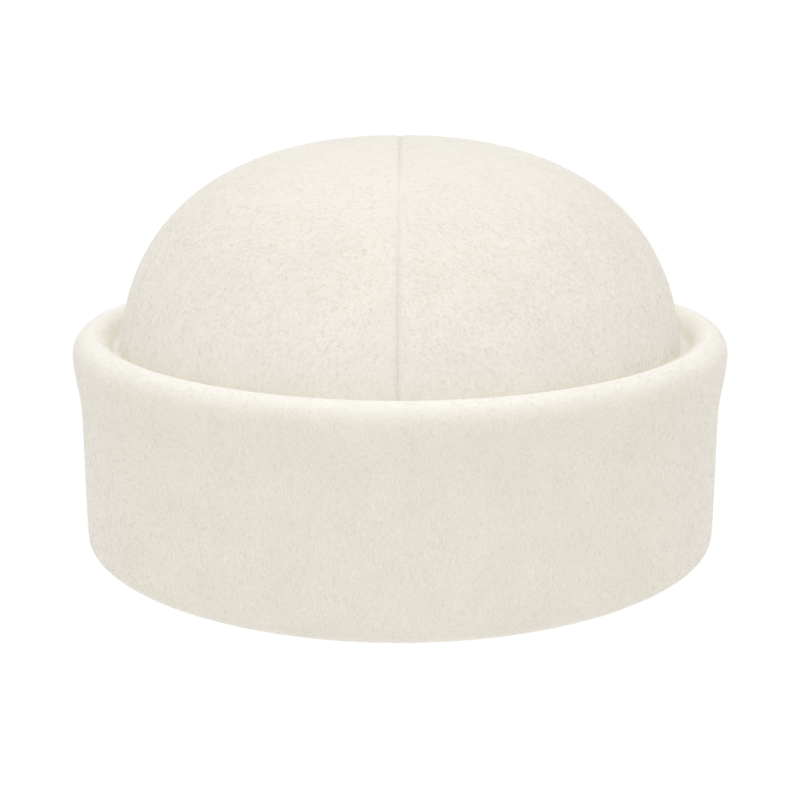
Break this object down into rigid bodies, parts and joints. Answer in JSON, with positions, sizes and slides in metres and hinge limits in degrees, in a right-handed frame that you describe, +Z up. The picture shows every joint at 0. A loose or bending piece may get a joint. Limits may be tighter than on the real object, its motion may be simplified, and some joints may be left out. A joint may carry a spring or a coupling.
{
  "type": "brimless docker hat",
  "caption": "Brimless docker hat of thick cream wool cloth: a seamed dome crown inside a deep turned-up cuff with a soft rolled top edge.",
  "frame": {"origin": "centre of the hat's outline, at the level of the cuff's flat bottom edge, which it rests on", "axes": "+Z up through the crown, -Y towards the front of the hat, +X towards the wearer's left"},
  "size_m": [0.1996, 0.2298, 0.125],
  "materials": {
    "crown_wool": "brushed wool cloth with a short nap, no gloss",
    "cuff_wool": "brushed wool cloth with a short nap, no gloss"
  },
  "bodies": {
    "root": {"crown_left": "crown_wool", "crown_right": "crown_wool", "cuff": "cuff_wool"}
  },
  "joints": []
}
